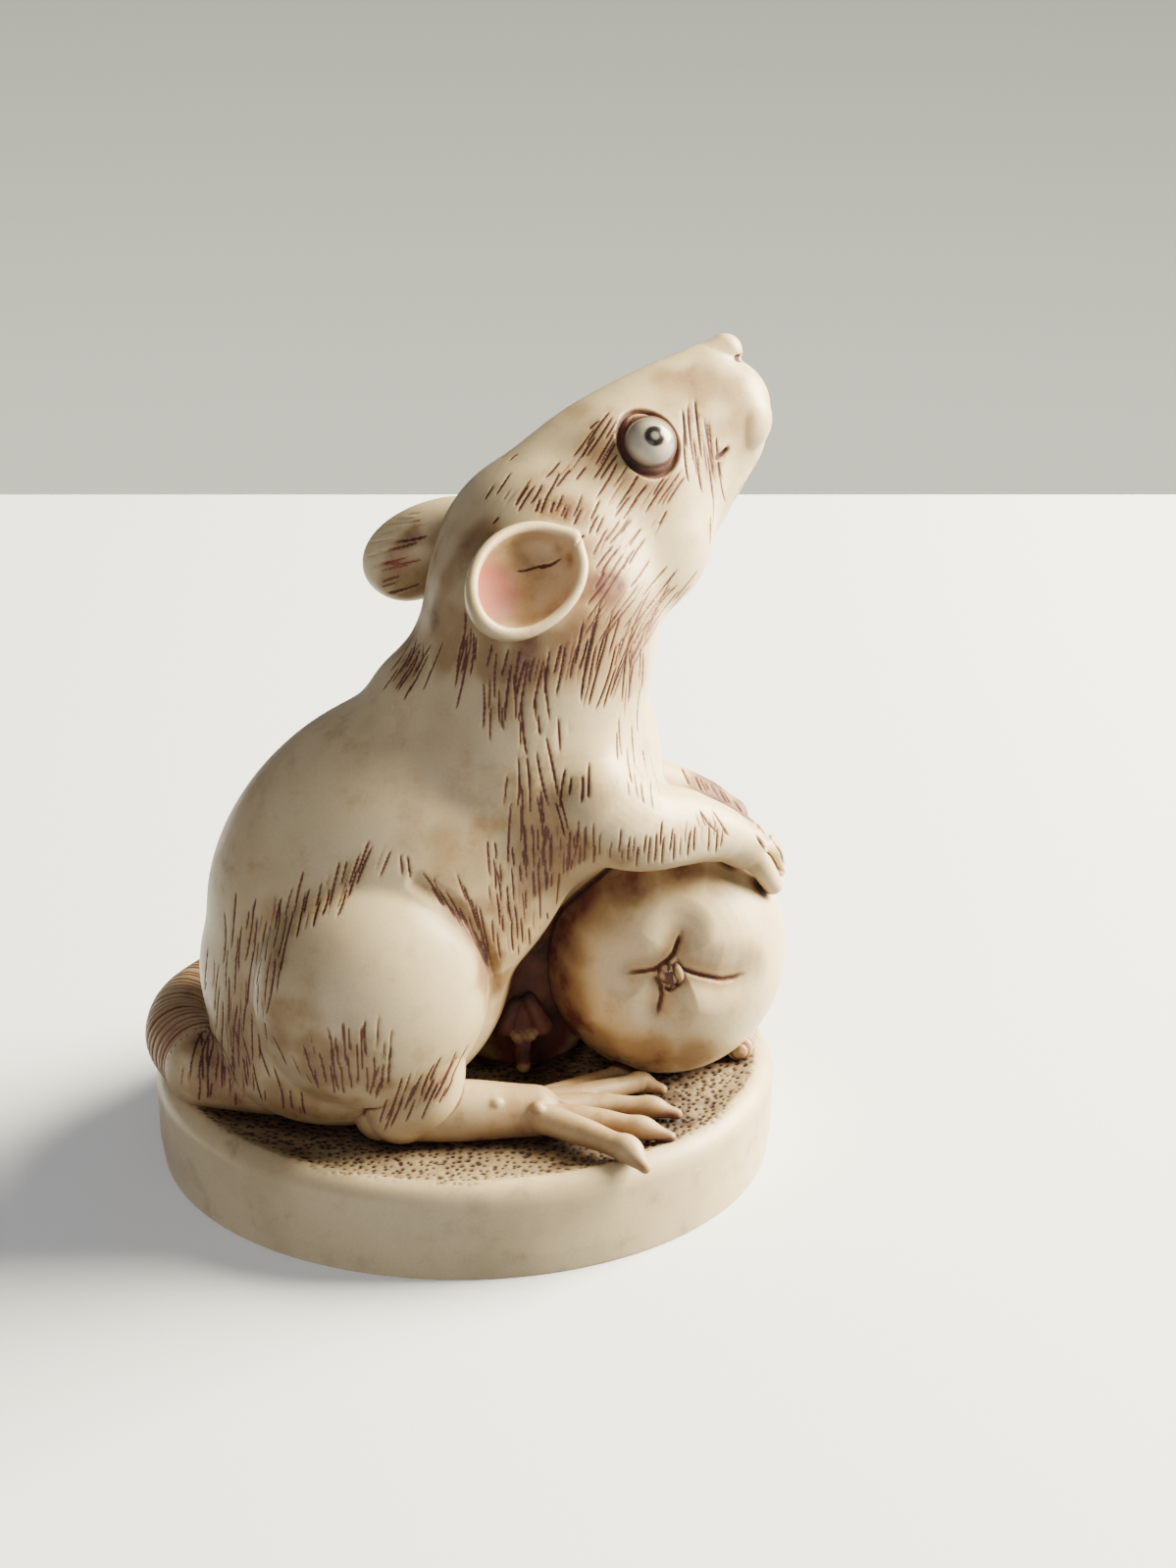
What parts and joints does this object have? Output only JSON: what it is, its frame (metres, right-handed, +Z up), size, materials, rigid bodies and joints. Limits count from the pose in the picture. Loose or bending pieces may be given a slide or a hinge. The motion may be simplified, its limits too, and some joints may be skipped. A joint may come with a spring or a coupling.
{
  "type": "seated mouse figurine",
  "caption": "Small cast ornament of a seated mouse on an oval base, looking up with both forepaws resting on a round fruit.",
  "frame": {"origin": "middle of the flat underside of the oval base", "axes": "+X along the length of the base towards the fruit, +Y towards the back of the base where the tail lies, +Z up"},
  "size_m": [0.0521, 0.0466, 0.0665],
  "materials": {
    "cast_resin": "cream stone-filled resin with a soft sheen, reddish-brown stain rubbed into the carving"
  },
  "bodies": {
    "root": {"mouse_figurine": "cast_resin"}
  },
  "joints": []
}
